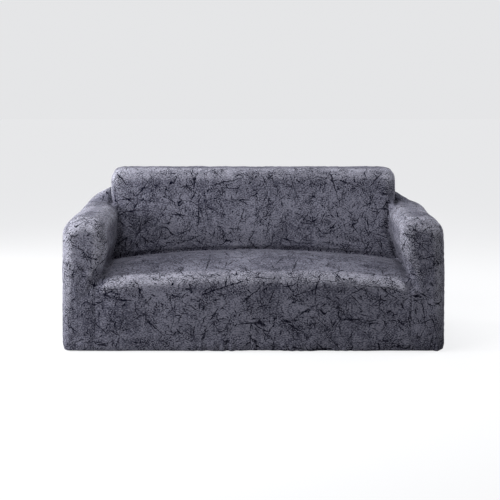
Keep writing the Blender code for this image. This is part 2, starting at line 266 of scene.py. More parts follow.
# The wall's foot goes on as the hem, in rows down and under. Its stepped heights run on below the foot.
foot = np.flatnonzero(stepped[:, 2] < WALL_FOOT + SAME)
wall_points = len(skin)
outward = slope(form, skin)[foot] * (1, 1, 0)
outward /= np.linalg.norm(outward, axis=1)[:, None]
skin[foot, 2] = WALL_FOOT
hem_line = np.array([(0.0, WALL_FOOT)] + [tuple(row) for row in HEM_ROWS[::-1]])
hem_run = np.concatenate([[0], np.cumsum(np.linalg.norm(np.diff(hem_line, axis=0), axis=1))])
edges = np.stack([patches, np.roll(patches, -1, axis=1)], axis=2)
at_foot = np.isin(edges, foot).all(axis=2)
foot_patches = at_foot.any(axis=1)
foot_edges, foot_panels, foot_facing = edges[at_foot], panel_names[foot_patches], facing[foot_patches]
row_of = np.full(len(skin), -1)
row_of[foot] = np.arange(len(foot))
above = foot
for run in np.linspace(0, hem_run[-1], round(hem_run[-1] / HEM_STEP) + 1)[1:]:
    drawn_in, height = (np.interp(run, hem_run, hem_line[:, i]) for i in (0, 1))
    row = skin[foot] - drawn_in * outward
    row[:, 2] = height
    row_flat = stepped[foot].copy()
    row_flat[:, 2] = WALL_FOOT - run
    below = len(skin) + np.arange(len(foot))
    a, b = row_of[foot_edges].T
    patches = np.concatenate([patches, np.column_stack([above[b], above[a], below[a], below[b]])])
    panel_names = np.concatenate([panel_names, foot_panels])
    facing = np.concatenate([facing, foot_facing])
    skin, stepped = np.concatenate([skin, row]), np.concatenate([stepped, row_flat])
    above = below
hem_edge = above


def skin_normals(points):
    """Normals of the whole skin, which the panels on both sides of a seam share."""
    a, b, c, d = points[patches].transpose(1, 0, 2)
    faces = np.cross(c - a, d - b)
    normals = np.column_stack([np.bincount(patches.ravel(), np.repeat(faces[:, i], 4)) for i in range(3)])
    return normals / np.linalg.norm(normals, axis=1)[:, None]


def relaxed(points, rounds, share):
    """Points eased towards the middle of their neighbours, as stretched cloth lies. The hem's edge stays."""
    sides = np.stack([patches, np.roll(patches, -1, axis=1)], axis=2).reshape(-1, 2)
    pairs = np.unique(np.sort(sides), axis=0)
    ends = np.concatenate([pairs, pairs[:, ::-1]])
    number = np.bincount(ends[:, 0])
    shares = np.full((len(points), 1), share)
    shares[hem_edge] = 0
    for _ in range(rounds):
        sums = [np.bincount(ends[:, 0], points[ends[:, 1], i]) for i in range(3)]
        points = points + shares * (np.column_stack(sums) / number[:, None] - points)
    return points


skin = relaxed(pulled(skin), RELAX_ROUNDS, RELAX_SHARE)
sideways = skin_normals(skin) * (1, 1, 0)
sideways /= np.maximum(np.linalg.norm(sideways, axis=1), LEAST_SIDEWAYS)[:, None]
lowness = 1 - smoothstep(0, SKIRT_HEIGHT, stepped[:, 2])
draw = SKIRT_DRAWN_IN * sideways * (lowness**SKIRT_POWER)[:, None]
draw[wall_points:] = np.tile(draw[foot], ((len(skin) - wall_points) // len(foot), 1))
skin -= draw
middle = (np.array(cad_low) + np.array(cad_high)) / 2
skin -= ((skin.max(axis=0) + skin.min(axis=0)) / 2 - middle) * (1, 1, 0)
skin[:, 2] -= skin[:, 2].min() - cad_low[2]


# ---- Unevenness, seams and the gathered hem ---------------------------------------------------------
# Stretched knitted cloth is never flat: it has slow hollows, puckers along its seams, and small upright
# gathers where the elastic draws the hem in, most of all at the corners.

WAVES, WAVE_SPREAD = 24, (0.6, 1.3)
HOLLOW_SIZE, HOLLOW_HEIGHT = 0.300, 0.0019
DIMPLE_SIZE, DIMPLE_HEIGHT = 0.100, 0.0005
GATHER_SIZE, GATHER_HEIGHT, GATHER_TOP = 0.034, 0.0016, 0.085
GATHER_POWER, GATHER_UPRIGHT = 1.5, 0.12
CORNER_GATHERS, CORNER_BAND = 2.2, Band(OUTER_X - 0.160, OUTER_X - 0.040)
PATCH_SIZE, PATCH_MEAN, PATCH_SWING = 0.5, 0.55, 0.45
PUCKER_SIZE, PUCKER_HEIGHT, PUCKER_REACH = 0.026, 0.0005, 0.018
SEAM_GROOVE, SEAM_REACH = 0.0006, 0.080
TUCK, TUCK_REACH, VALLEY_REACH = 0.0085, 0.011, 0.060


def uneven(points, size, seed):
    """A smooth random field over the skin, mostly from -1 to 1, whose bumps are about half of size wide."""
    random = np.random.default_rng(seed)
    ways = random.normal(size=(WAVES, 3))
    ways *= (2 * np.pi / size * random.uniform(*WAVE_SPREAD, WAVES) / np.linalg.norm(ways, axis=1))[:, None]
    turns = random.uniform(0, 2 * np.pi, WAVES)
    return np.sin(points @ ways.T + turns).sum(axis=1) / np.sqrt(WAVES / 2)


def tree_of(points):
    """A tree that finds the nearest of these points."""
    tree = KDTree(len(points))
    for i, point in enumerate(points):
        tree.insert(point, i)
    tree.balance()
    return tree


names, panel_numbers = np.unique(panel_names, return_inverse=True)
lowest, highest = np.full(len(skin), len(names)), np.full(len(skin), -1)
np.minimum.at(lowest, patches, panel_numbers[:, None])
np.maximum.at(highest, patches, panel_numbers[:, None])
on_seam = lowest < highest
x, y, z = stepped.T
reach = np.abs(x)
seat_level, arm_level = np.abs(z - SEAT_HEIGHT) < SAME, np.abs(z - ARM_HEIGHT) < SAME
beside_arm, beside_back = np.abs(reach - ARM_X) < SAME, np.abs(reach - BACK_X) < SAME
in_valley = seat_level & (y > FRONT_SEAM) & (y < BACK_Y + SAME) & (reach < ARM_X + SAME)
in_valley |= beside_back & arm_level
in_valley |= beside_arm & (np.abs(y - BACK_Y) < SAME) & (z > SEAT_HEIGHT) & (z < ARM_HEIGHT)
in_valley &= on_seam


def distance_to(chosen, farthest):
    """Each point's distance to the nearest chosen point of the skin, or farthest past that."""
    tree = tree_of(skin[chosen])
    low, high = skin[chosen].min(axis=0) - farthest, skin[chosen].max(axis=0) + farthest
    away = np.full(len(skin), farthest)
    for i in np.flatnonzero(((skin > low) & (skin < high)).all(axis=1)):
        away[i] = min(farthest, tree.find(skin[i])[2])
    return away


seam_distance = distance_to(on_seam, SEAM_REACH)
valley_distance = distance_to(in_valley, VALLEY_REACH)
at_hem = 1 - smoothstep(0.0, GATHER_TOP, z)
corner = smoothstep(*CORNER_BAND, reach) * smoothstep(-FRONT_SEAM, -FRONT_Y, np.abs(y))
upright = skin * (1, 1, GATHER_UPRIGHT)
patchy = PATCH_MEAN + PATCH_SWING * uneven(skin, PATCH_SIZE, seed=11)
gathered = at_hem**GATHER_POWER * patchy * (1 + CORNER_GATHERS * corner)

relief = HOLLOW_HEIGHT * uneven(skin, HOLLOW_SIZE, seed=1) * smoothstep(0, SEAM_REACH, seam_distance)
relief += DIMPLE_HEIGHT * uneven(skin, DIMPLE_SIZE, seed=2)
relief += GATHER_HEIGHT * uneven(upright, GATHER_SIZE, seed=3) * gathered
relief += PUCKER_HEIGHT * uneven(skin, PUCKER_SIZE, seed=4) * np.exp(-((seam_distance / PUCKER_REACH) ** 2))
relief -= SEAM_GROOVE * on_seam
relief -= TUCK * np.exp(-((valley_distance / TUCK_REACH) ** 2))

Fold = namedtuple("Fold", "start bend end half_width height")
FOLD_POINTS = 20
FOLD_REACH = 3.0
FOLD_END_SHARE = 0.15
FOLD_LIPS = 0.45
skin_tree = tree_of(skin)


def folds(rows):
    """Heights of creases listed one by one. Each runs from its start to its end past its bend, along the
    skin.

    A trough has a height below 0. It has soft raised lips and fades out towards both ends.
    """
    heights = np.zeros(len(skin))
    for fold in rows:
        start, bend, end = (np.array(point) for point in fold[:3])
        t = np.linspace(0, 1, FOLD_POINTS)[:, None]
        line = (1 - t) ** 2 * start + 2 * t * (1 - t) * bend + t * t * end
        line = np.array([skin_tree.find(point)[0] for point in line])
        margin = FOLD_REACH * fold.half_width
        near = ((skin > line.min(axis=0) - margin) & (skin < line.max(axis=0) + margin)).all(axis=1)
        away, place = np.full(near.sum(), np.inf), np.zeros(near.sum())
        for i, (a, b) in enumerate(zip(line[:-1], line[1:])):
            run = b - a
            along = np.clip((skin[near] - a) @ run / max(run @ run, SAME**2), 0, 1)
            distance = np.linalg.norm(skin[near] - a - along[:, None] * run, axis=1)
            nearer = distance < away
            away[nearer] = distance[nearer]
            place[nearer] = (i + along[nearer]) / (FOLD_POINTS - 1)
        q = (away / fold.half_width) ** 2
        fade = FOLD_END_SHARE + (1 - FOLD_END_SHARE) * np.sin(np.pi * place)
        heights[near] += fold.height * np.exp(-q) * (1 - FOLD_LIPS * q) * fade
    return heights


# ---- Seat and apron ---------------------------------------------------------------------------------
# One width of cloth from the crease under the back, over the seat's soft front edge and down to the hem.
# It is pulled from both of its upper corners, where it meets the arms.

relief += folds(
    (
        # drag lines from the corners at the arms
        Fold((-0.690, -0.395, 0.300), (-0.600, -0.400, 0.255), (-0.500, -0.400, 0.250), 0.014, -0.0028),
        Fold((-0.695, -0.395, 0.290), (-0.680, -0.400, 0.220), (-0.610, -0.400, 0.160), 0.015, -0.0022),
        Fold((-0.690, -0.380, 0.320), (-0.600, -0.370, 0.335), (-0.470, -0.385, 0.330), 0.013, 0.0020),
        Fold((0.690, -0.395, 0.300), (0.620, -0.400, 0.270), (0.520, -0.400, 0.268), 0.014, -0.0028),
        Fold((0.700, -0.395, 0.285), (0.680, -0.400, 0.215), (0.620, -0.400, 0.170), 0.015, -0.0022),
        Fold((0.690, -0.370, 0.325), (0.600, -0.365, 0.340), (0.500, -0.380, 0.335), 0.013, 0.0020),
        # slow swags on the apron
        Fold((-0.480, -0.400, 0.180), (-0.250, -0.400, 0.120), (-0.020, -0.400, 0.150), 0.034, 0.0022),
        Fold((0.080, -0.400, 0.200), (0.300, -0.400, 0.110), (0.560, -0.400, 0.150), 0.036, 0.0022),
        Fold((-0.300, -0.400, 0.060), (-0.050, -0.400, 0.085), (0.240, -0.400, 0.055), 0.030, -0.0018),
        Fold((-0.640, -0.400, 0.060), (-0.560, -0.400, 0.110), (-0.440, -0.400, 0.110), 0.020, -0.0018),
        Fold((0.640, -0.400, 0.055), (0.540, -0.400, 0.100), (0.430, -0.400, 0.085), 0.020, -0.0018),
        # across the seat
        Fold((-0.640, -0.260, 0.330), (-0.520, -0.250, 0.360), (-0.380, -0.290, 0.375), 0.018, -0.0024),
        Fold((0.640, -0.220, 0.330), (0.520, -0.230, 0.360), (0.400, -0.280, 0.375), 0.018, -0.0024),
        Fold((-0.630, 0.020, 0.330), (-0.450, 0.060, 0.370), (-0.300, 0.040, 0.385), 0.020, -0.0022),
        Fold((0.630, 0.040, 0.330), (0.470, 0.070, 0.370), (0.280, 0.060, 0.385), 0.020, -0.0022),
        Fold((-0.160, 0.100, 0.380), (0.040, 0.060, 0.390), (0.220, 0.095, 0.380), 0.024, 0.0020),
    )
)


# ---- Arm fronts -------------------------------------------------------------------------------------
# A narrow facing on each arm, rounded over its top and nipped in beside the seat. The cloth fans from its
# outer top corner, and the elastic gathers it at the foot.

relief += folds(
    (
        # the fan at the right arm's outer corner
        Fold((0.836, -0.372, 0.520), (0.820, -0.385, 0.560), (0.775, -0.375, 0.582), 0.009, -0.0025),
        Fold((0.842, -0.375, 0.490), (0.825, -0.395, 0.535), (0.770, -0.390, 0.562), 0.010, 0.0023),
        Fold((0.842, -0.380, 0.460), (0.815, -0.398, 0.510), (0.760, -0.398, 0.535), 0.011, -0.0021),
        # and at the left one's
        Fold((-0.838, -0.372, 0.510), (-0.815, -0.385, 0.550), (-0.775, -0.378, 0.575), 0.010, -0.0025),
        Fold((-0.842, -0.378, 0.470), (-0.815, -0.398, 0.515), (-0.765, -0.398, 0.540), 0.012, 0.0021),
        # down from the nip beside the seat
        Fold((0.700, -0.392, 0.325), (0.712, -0.398, 0.290), (0.745, -0.400, 0.235), 0.010, -0.0048),
        Fold((0.695, -0.388, 0.345), (0.735, -0.398, 0.330), (0.800, -0.398, 0.345), 0.013, -0.0023),
        Fold((-0.700, -0.392, 0.325), (-0.715, -0.398, 0.280), (-0.760, -0.400, 0.230), 0.011, -0.0039),
        Fold((-0.690, -0.388, 0.360), (-0.730, -0.398, 0.372), (-0.790, -0.398, 0.350), 0.013, -0.0021),
        # long upright pulls
        Fold((0.790, -0.398, 0.430), (0.800, -0.400, 0.300), (0.785, -0.400, 0.150), 0.018, 0.0018),
        Fold((-0.770, -0.398, 0.440), (-0.790, -0.400, 0.300), (-0.780, -0.400, 0.160), 0.020, 0.0018),
        # gathers above the hem's corners
        Fold((0.835, -0.385, 0.012), (0.800, -0.398, 0.050), (0.700, -0.400, 0.060), 0.010, -0.0032),
        Fold((0.842, -0.370, 0.030), (0.815, -0.395, 0.080), (0.740, -0.400, 0.105), 0.013, -0.0025),
        Fold((-0.838, -0.380, 0.012), (-0.800, -0.398, 0.040), (-0.740, -0.400, 0.046), 0.010, -0.0030),
        Fold((-0.842, -0.370, 0.030), (-0.810, -0.396, 0.070), (-0.720, -0.400, 0.072), 0.012, -0.0023),
    )
)


# ---- Arm wraps --------------------------------------------------------------------------------------
# Each arm's inside, top and outside in one piece, from the seat's crease over the arm and down to the hem.
# Small creases cross the top behind the facing, and long ones run down the outside.

relief += folds(
    (
        # across the tops
        Fold((0.680, -0.235, 0.595), (0.750, -0.250, 0.597), (0.838, -0.240, 0.575), 0.010, -0.0030),
        Fold((0.672, -0.190, 0.590), (0.740, -0.200, 0.597), (0.815, -0.215, 0.590), 0.014, 0.0024),
        Fold((0.665, 0.060, 0.585), (0.740, 0.035, 0.597), (0.830, 0.065, 0.580), 0.014, -0.0030),
        Fold((-0.672, -0.250, 0.590), (-0.745, -0.262, 0.597), (-0.838, -0.245, 0.575), 0.012, -0.0030),
        Fold((-0.668, -0.080, 0.588), (-0.745, -0.065, 0.597), (-0.830, -0.085, 0.580), 0.015, -0.0027),
        Fold((-0.690, 0.110, 0.595), (-0.750, 0.130, 0.597), (-0.825, 0.115, 0.585), 0.016, 0.0024),
        # from the shoulders along the arms
        Fold((-0.770, 0.330, 0.630), (-0.760, 0.220, 0.600), (-0.790, 0.120, 0.592), 0.014, -0.0041),
        Fold((0.750, 0.330, 0.620), (0.755, 0.240, 0.600), (0.785, 0.150, 0.592), 0.014, -0.0038),
        # up the insides from the crease beside the seat
        Fold((-0.690, -0.180, 0.340), (-0.660, -0.160, 0.420), (-0.650, -0.090, 0.490), 0.016, -0.0035),
        Fold((-0.690, 0.060, 0.340), (-0.665, 0.030, 0.410), (-0.650, 0.060, 0.480), 0.015, -0.0030),
        Fold((0.690, -0.200, 0.340), (0.665, -0.170, 0.420), (0.650, -0.110, 0.490), 0.016, -0.0035),
        Fold((0.690, 0.050, 0.340), (0.665, 0.030, 0.410), (0.650, 0.070, 0.480), 0.015, -0.0030),
        # the insides' lower fronts, drawn towards the facing
        Fold((-0.680, -0.330, 0.365), (-0.668, -0.270, 0.400), (-0.655, -0.200, 0.400), 0.012, -0.0030),
        Fold((0.690, -0.330, 0.365), (0.672, -0.270, 0.405), (0.655, -0.200, 0.410), 0.012, -0.0030),
        # down the outsides
        Fold((0.850, -0.330, 0.500), (0.850, -0.240, 0.420), (0.850, -0.080, 0.230), 0.024, -0.0046),
        Fold((0.850, -0.320, 0.420), (0.850, -0.260, 0.300), (0.850, -0.160, 0.150), 0.022, 0.0032),
        Fold((0.850, 0.330, 0.520), (0.850, 0.230, 0.430), (0.850, 0.110, 0.220), 0.024, -0.0043),
        Fold((0.850, 0.020, 0.500), (0.850, 0.040, 0.380), (0.850, -0.010, 0.260), 0.026, -0.0024),
        Fold((-0.850, -0.330, 0.500), (-0.850, -0.230, 0.400), (-0.850, -0.060, 0.210), 0.024, -0.0046),
        Fold((-0.850, -0.310, 0.400), (-0.850, -0.250, 0.280), (-0.850, -0.140, 0.140), 0.022, 0.0032),
        Fold((-0.850, 0.330, 0.530), (-0.850, 0.240, 0.420), (-0.850, 0.090, 0.240), 0.024, -0.0043),
        Fold((-0.850, 0.040, 0.510), (-0.850, 0.010, 0.400), (-0.850, 0.050, 0.280), 0.026, -0.0024),
    )
)


# ---- Inside back ------------------------------------------------------------------------------------
# The front of the back, over its top and round both ends, down to the arms and the crease behind the seat.
# The cloth is drawn down into the crease's ends and over the rounded top corners.

relief += folds(
    (
        # from the ends of the crease, up and inwards
        Fold((-0.640, 0.165, 0.380), (-0.560, 0.175, 0.470), (-0.430, 0.185, 0.560), 0.022, -0.0045),
        Fold((-0.640, 0.160, 0.370), (-0.520, 0.165, 0.400), (-0.380, 0.168, 0.450), 0.018, -0.0030),
        Fold((0.640, 0.165, 0.380), (0.570, 0.175, 0.480), (0.450, 0.185, 0.560), 0.022, -0.0045),
        Fold((0.640, 0.160, 0.370), (0.500, 0.165, 0.405), (0.350, 0.168, 0.440), 0.018, -0.0030),
        # in the middle of the back
        Fold((-0.250, 0.175, 0.400), (-0.120, 0.178, 0.430), (0.020, 0.176, 0.410), 0.022, -0.0022),
        Fold((0.060, 0.176, 0.410), (0.160, 0.185, 0.500), (0.130, 0.190, 0.600), 0.026, 0.0022),
        Fold((-0.340, 0.190, 0.680), (-0.220, 0.190, 0.600), (-0.180, 0.185, 0.500), 0.024, -0.0028),
        Fold((0.330, 0.190, 0.690), (0.270, 0.190, 0.610), (0.300, 0.185, 0.520), 0.024, -0.0025),
        # over the top corners
        Fold((-0.640, 0.225, 0.755), (-0.600, 0.205, 0.725), (-0.540, 0.195, 0.680), 0.013, -0.0030),
        Fold((-0.668, 0.240, 0.735), (-0.640, 0.210, 0.700), (-0.600, 0.195, 0.640), 0.012, 0.0022),
        Fold((0.640, 0.225, 0.755), (0.610, 0.205, 0.725), (0.560, 0.195, 0.690), 0.013, -0.0030),
        Fold((0.668, 0.240, 0.735), (0.645, 0.210, 0.695), (0.615, 0.195, 0.640), 0.012, 0.0022),
        # round the ends, down to the arms
        Fold((-0.684, 0.250, 0.720), (-0.684, 0.240, 0.670), (-0.684, 0.280, 0.610), 0.013, -0.0032),
        Fold((0.684, 0.250, 0.720), (0.684, 0.240, 0.670), (0.684, 0.280, 0.610), 0.013, -0.0032),
        # along the top
        Fold((-0.420, 0.290, 0.761), (-0.300, 0.270, 0.761), (-0.160, 0.300, 0.761), 0.018, -0.0015),
        Fold((0.120, 0.280, 0.761), (0.260, 0.300, 0.761), (0.430, 0.275, 0.761), 0.018, -0.0015),
    )
)


# ---- Outside back -----------------------------------------------------------------------------------
# The widest panel, behind, from the back's top edge and the sloped shoulders down to the hem. It hangs
# between the shoulders, from which long pulls cross it.

relief += folds(
    (
        # from the shoulders, down and inwards
        Fold((-0.720, 0.395, 0.650), (-0.600, 0.400, 0.520), (-0.420, 0.400, 0.330), 0.030, -0.0072),
        Fold((-0.740, 0.395, 0.620), (-0.700, 0.400, 0.450), (-0.600, 0.400, 0.260), 0.024, 0.0049),
        Fold((0.710, 0.395, 0.650), (0.600, 0.400, 0.540), (0.460, 0.400, 0.350), 0.030, -0.0072),
        Fold((0.740, 0.395, 0.610), (0.700, 0.400, 0.450), (0.620, 0.400, 0.280), 0.024, 0.0046),
        # across the middle
        Fold((-0.360, 0.400, 0.640), (-0.060, 0.400, 0.580), (0.260, 0.400, 0.640), 0.040, -0.0038),
        Fold((-0.300, 0.400, 0.090), (0.050, 0.400, 0.130), (0.380, 0.400, 0.100), 0.038, 0.0043),
        Fold((-0.200, 0.400, 0.420), (0.020, 0.400, 0.330), (0.230, 0.400, 0.400), 0.040, -0.0032),
        # from the rear corners of the hem
        Fold((-0.840, 0.375, 0.020), (-0.790, 0.396, 0.090), (-0.640, 0.400, 0.130), 0.014, -0.0038),
        Fold((0.840, 0.375, 0.020), (0.790, 0.396, 0.080), (0.660, 0.400, 0.140), 0.014, -0.0038),
        Fold((-0.835, 0.380, 0.560), (-0.790, 0.398, 0.500), (-0.720, 0.400, 0.380), 0.016, -0.0041),
        Fold((0.835, 0.380, 0.560), (0.790, 0.398, 0.500), (0.730, 0.400, 0.400), 0.016, -0.0041),
    )
)


# ---- The cloth --------------------------------------------------------------------------------------
# Grey-violet jersey, knitted fine, slightly mottled and with a soft sheen. It is printed all over with a
# random crackle: near-black twigs, straight scratches and clusters of specks, with plain places between.

GROUND = (0.046, 0.046, 0.067, 1)
GROUND_PALE = (0.177, 0.177, 0.224, 1)
# Paler colours for where the cloth stands out over a rounding: partly the knit stretched thin, partly a
# painted highlight in place of the shine on the upper roundings
STRETCHED_HIGHLIT = (0.150, 0.151, 0.185, 1)
STRETCHED_HIGHLIT_PALE = (0.430, 0.430, 0.505, 1)
STRETCHED_HIGHLIT_SHARE = 0.70
INK = (0.002, 0.002, 0.009, 1)
STITCH = 0.0016
HEATHER_SIZE = 0.0042
WORN_SIZE = 0.240
CLOUD_SIZE = 0.030


def add_node(tree, kind, inputs=None, **settings):
    """A shader node with its settings made and its inputs filled or linked."""
    node = tree.nodes.new(kind)
    for name, value in settings.items():
        setattr(node, name, value)
    for name, value in (inputs or {}).items():
        socket = node.inputs[name]
        if isinstance(value, bpy.types.NodeSocket):
            tree.links.new(value, socket)
        else:
            socket.default_value = value
    return node


def math_node(tree, operation, *values):
    """The result of a Math node."""
    return add_node(tree, "ShaderNodeMath", dict(enumerate(values)), operation=operation).outputs[0]


def vector_node(tree, operation, a, b):
    """The vector result of a Vector Math node."""
    return add_node(tree, "ShaderNodeVectorMath", {0: a, 1: b}, operation=operation).outputs[0]


def rise(tree, value, low, high, out_low=0.0, out_high=1.0):
    """The value eased from one range to another, with no overshoot."""
    inputs = {"Value": value, "From Min": low, "From Max": high, "To Min": out_low, "To Max": out_high}
    return add_node(tree, "ShaderNodeMapRange", inputs, interpolation_type="SMOOTHSTEP").outputs[0]


def noise(tree, place, scale, detail=1.0):
    """A two-dimensional noise value, from 0 to 1."""
    inputs = {"Vector": place, "Scale": scale, "Detail": detail}
    return add_node(tree, "ShaderNodeTexNoise", inputs, noise_dimensions="2D").outputs[0]


def mixed(tree, factor, a, b):
    """A colour between a and b."""
    return add_node(tree, "ShaderNodeMix", {0: factor, 6: a, 7: b}, data_type="RGBA").outputs[2]


def cells(tree, place, randomness, feature):
    """The outputs of a flat pattern of random cells, each about one unit wide."""
    inputs = {"Vector": place, "Scale": 1.0, "Randomness": randomness}
    return add_node(tree, "ShaderNodeTexVoronoi", inputs, voronoi_dimensions="2D", feature=feature).outputs


def swayed(tree, place, scale, detail, amount):
    """A random sideways step at each place, up to half of the amount each way."""
    inputs = {"Vector": place, "Scale": scale, "Detail": detail}
    step = add_node(tree, "ShaderNodeTexNoise", inputs, noise_dimensions="2D").outputs["Color"]
    step = vector_node(tree, "SUBTRACT", step, (0.5, 0.5, 0.5))
    return vector_node(tree, "MULTIPLY", step, (amount, amount, 0.0))


def new_group(name, inputs, outputs):
    """A shader node group with named sockets, and its input and output nodes."""
    tree = bpy.data.node_groups.new(name, "ShaderNodeTree")
    for label, value in inputs.items():
        kind = "NodeSocketVector" if value is None else "NodeSocketFloat"
        socket = tree.interface.new_socket(label, in_out="INPUT", socket_type=kind)
        if value is not None:
            socket.default_value = value
    for label in outputs:
        tree.interface.new_socket(label, in_out="OUTPUT", socket_type="NodeSocketFloat")
    return tree, tree.nodes.new("NodeGroupInput").outputs, tree.nodes.new("NodeGroupOutput").inputs


def turned(tree, place, turn):
    """The place turned by an angle."""
    inputs = {"Vector": place, "Angle": turn}
    return add_node(tree, "ShaderNodeVectorRotate", inputs, rotation_type="Z_AXIS").outputs[0]


def units(tree, long_way, short_way):
    """The size of a cell, long_way along X and short_way along Y."""
    return add_node(tree, "ShaderNodeCombineXYZ", {"X": long_way, "Y": short_way, "Z": 1.0}).outputs[0]


# Twigs: the edges of stretched random cells, wobbly, thicker at their forks, and kept only in patches
WOBBLES = ((1.6, 0.55), (6.0, 0.13), (19.0, 0.045))
PATCH_SCALE, PATCH_FADE, PATCH_SHOWN = 0.9, 0.06, Band(0.02, 0.2)
FORK_SCALE, FORK_NOISE, FORK_WIDTHS = 5.0, Band(0.25, 0.80), Band(0.25, 1.9)
SOLID_SHARE, LEAST_HALF_WIDTH = 0.45, 0.0001

twigs, given, made = new_group(
    "twigs",
    {"Place": None, "Turn": 0.0, "Cell": 0.10, "Stretch": 2.0, "Width": 0.004, "Kept": 0.5, "Offset": 0.0},
    ["Ink"],
)
long_cell = math_node(twigs, "MULTIPLY", given["Cell"], given["Stretch"])
place = turned(twigs, given["Place"], given["Turn"])
place = vector_node(twigs, "DIVIDE", place, units(twigs, long_cell, given["Cell"]))
place = vector_node(twigs, "ADD", place, given["Offset"])
for scale, wobble in WOBBLES:
    place = vector_node(twigs, "ADD", place, swayed(twigs, place, scale, 0.0, wobble))
edge = cells(twigs, place, 1.0, "DISTANCE_TO_EDGE")["Distance"]
kept_high = math_node(twigs, "SUBTRACT", 1.0, given["Kept"])
kept_low = math_node(twigs, "SUBTRACT", kept_high, PATCH_FADE)
kept = rise(twigs, noise(twigs, place, PATCH_SCALE, 2.0), kept_low, kept_high)
thickness = rise(twigs, noise(twigs, place, FORK_SCALE), *FORK_NOISE, *FORK_WIDTHS)
thickness = math_node(twigs, "MULTIPLY", thickness, kept)
width = math_node(twigs, "DIVIDE", math_node(twigs, "MULTIPLY", given["Width"], thickness), given["Cell"])
half_width = math_node(twigs, "MULTIPLY", width, 0.5)
solid = math_node(twigs, "MULTIPLY", half_width, SOLID_SHARE)
ink = rise(twigs, edge, solid, math_node(twigs, "MAXIMUM", half_width, LEAST_HALF_WIDTH), 1.0, 0.0)
twigs.links.new(math_node(twigs, "MULTIPLY", ink, rise(twigs, kept, *PATCH_SHOWN)), made["Ink"])

# Strokes: one straight twig to each random cell, tapering from a knot, with two shorter branches
SWAY_SCALE, SWAY = 40.0, 0.011
KNOT_SPREAD = 0.9
LENGTHS = Band(0.45, 1.0)
BOLD_CHANCE, BOLDNESS = Band(0.0, 0.6), Band(1.35, 0.65)
BRANCH_START = 30.0
STROKE_EDGE = Band(-0.0004, 0.0008)
Branch = namedtuple("Branch", "turn length")
BRANCHES = (Branch(0.55, 0.62), Branch(-2.4, 0.50))

strokes, given, made = new_group(
    "strokes",
    {"Place": None, "Cell": 0.15, "Length": 0.09, "Width": 0.002, "Branch": 0.5, "Kept": 0.8, "Offset": 0.0},
    ["Ink"],
)
cell = units(strokes, given["Cell"], given["Cell"])
sway = swayed(strokes, given["Place"], SWAY_SCALE, 1.0, SWAY)
place = vector_node(strokes, "DIVIDE", vector_node(strokes, "ADD", given["Place"], sway), cell)
place = vector_node(strokes, "ADD", place, given["Offset"])
knot = cells(strokes, place, KNOT_SPREAD, "F1")
from_knot = vector_node(strokes, "MULTIPLY", vector_node(strokes, "SUBTRACT", place, knot["Position"]), cell)
chance = add_node(strokes, "ShaderNodeSeparateColor", {"Color": knot["Color"]}).outputs
way = math_node(strokes, "MULTIPLY", chance[0], 2 * np.pi)
size = rise(strokes, chance[1], 0.0, 1.0, *LENGTHS)
kept = math_node(strokes, "GREATER_THAN", given["Kept"], chance[2])
bold = rise(strokes, chance[2], *BOLD_CHANCE, *BOLDNESS)
thickest = math_node(strokes, "MULTIPLY", given["Width"], bold)


def twig(turn, length, one_way):
    """Ink of one line from the knot, or through it, tapering to its ends."""
    parts = turned(strokes, from_knot, math_node(strokes, "ADD", way, turn))
    parts = add_node(strokes, "ShaderNodeSeparateXYZ", {"Vector": parts}).outputs
    run = math_node(strokes, "DIVIDE", parts[0], math_node(strokes, "MULTIPLY", given["Length"], length))
    run = math_node(strokes, "DIVIDE", run, size)
    if one_way:
        start = math_node(strokes, "MULTIPLY", run, BRANCH_START)
        taper = math_node(strokes, "MINIMUM", math_node(strokes, "SUBTRACT", 1.0, run), start)
    else:
        taper = math_node(strokes, "SUBTRACT", 1.0, math_node(strokes, "ABSOLUTE", run))
    broad = math_node(strokes, "MULTIPLY", thickest, taper)
    inside = math_node(strokes, "SUBTRACT", broad, math_node(strokes, "ABSOLUTE", parts[1]))
    return rise(strokes, inside, *STROKE_EDGE)


branches = math_node(strokes, "MAXIMUM", *(twig(*branch, one_way=True) for branch in BRANCHES))
branched = math_node(strokes, "GREATER_THAN", given["Branch"], chance[1])
branches = math_node(strokes, "MULTIPLY", branches, branched)
ink = math_node(strokes, "MAXIMUM", twig(0.0, 1.0, one_way=False), branches)
strokes.links.new(math_node(strokes, "MULTIPLY", ink, kept), made["Ink"])

# Specks: small dots in clusters
CLUSTER_SCALE, CLUSTER_NOISE, DOT_LEVELS = 13.0, Band(0.35, 0.72), Band(0.93, 0.60)
KEPT_LOWERS, DOT_EDGE = 0.1, 0.07

specks, given, made = new_group("specks", {"Place": None, "Size": 0.0052, "Kept": 0.70}, ["Ink"])
dots = noise(specks, given["Place"], math_node(specks, "DIVIDE", 1.0, given["Size"]), 0.0)
cluster = noise(specks, given["Place"], CLUSTER_SCALE, 2.0)
level = rise(specks, cluster, *CLUSTER_NOISE, *DOT_LEVELS)
level = math_node(specks, "SUBTRACT", level, math_node(specks, "MULTIPLY", given["Kept"], KEPT_LOWERS))
specks.links.new(rise(specks, dots, level, math_node(specks, "ADD", level, DOT_EDGE)), made["Ink"])

# The knit: upright ribs of small stitches, each a soft V
STITCH_SLANT, STITCH_DEPTH = 1.2, 0.35

knit, given, made = new_group("knit", {"Place": None, "Stitch": STITCH}, ["Height"])
place = vector_node(knit, "DIVIDE", given["Place"], units(knit, given["Stitch"], given["Stitch"]))
parts = add_node(knit, "ShaderNodeSeparateXYZ", {"Vector": place}).outputs
ribs = math_node(knit, "ABSOLUTE", math_node(knit, "SINE", math_node(knit, "MULTIPLY", parts["X"], np.pi)))
slant = math_node(knit, "MULTIPLY", math_node(knit, "PINGPONG", parts["X"], 0.5), STITCH_SLANT)
rows = math_node(knit, "MULTIPLY", math_node(knit, "ADD", parts["Y"], slant), 2 * np.pi)
rows = math_node(knit, "MULTIPLY", math_node(knit, "SINE", rows), STITCH_DEPTH)
knit.links.new(math_node(knit, "ADD", ribs, rows), made["Height"])

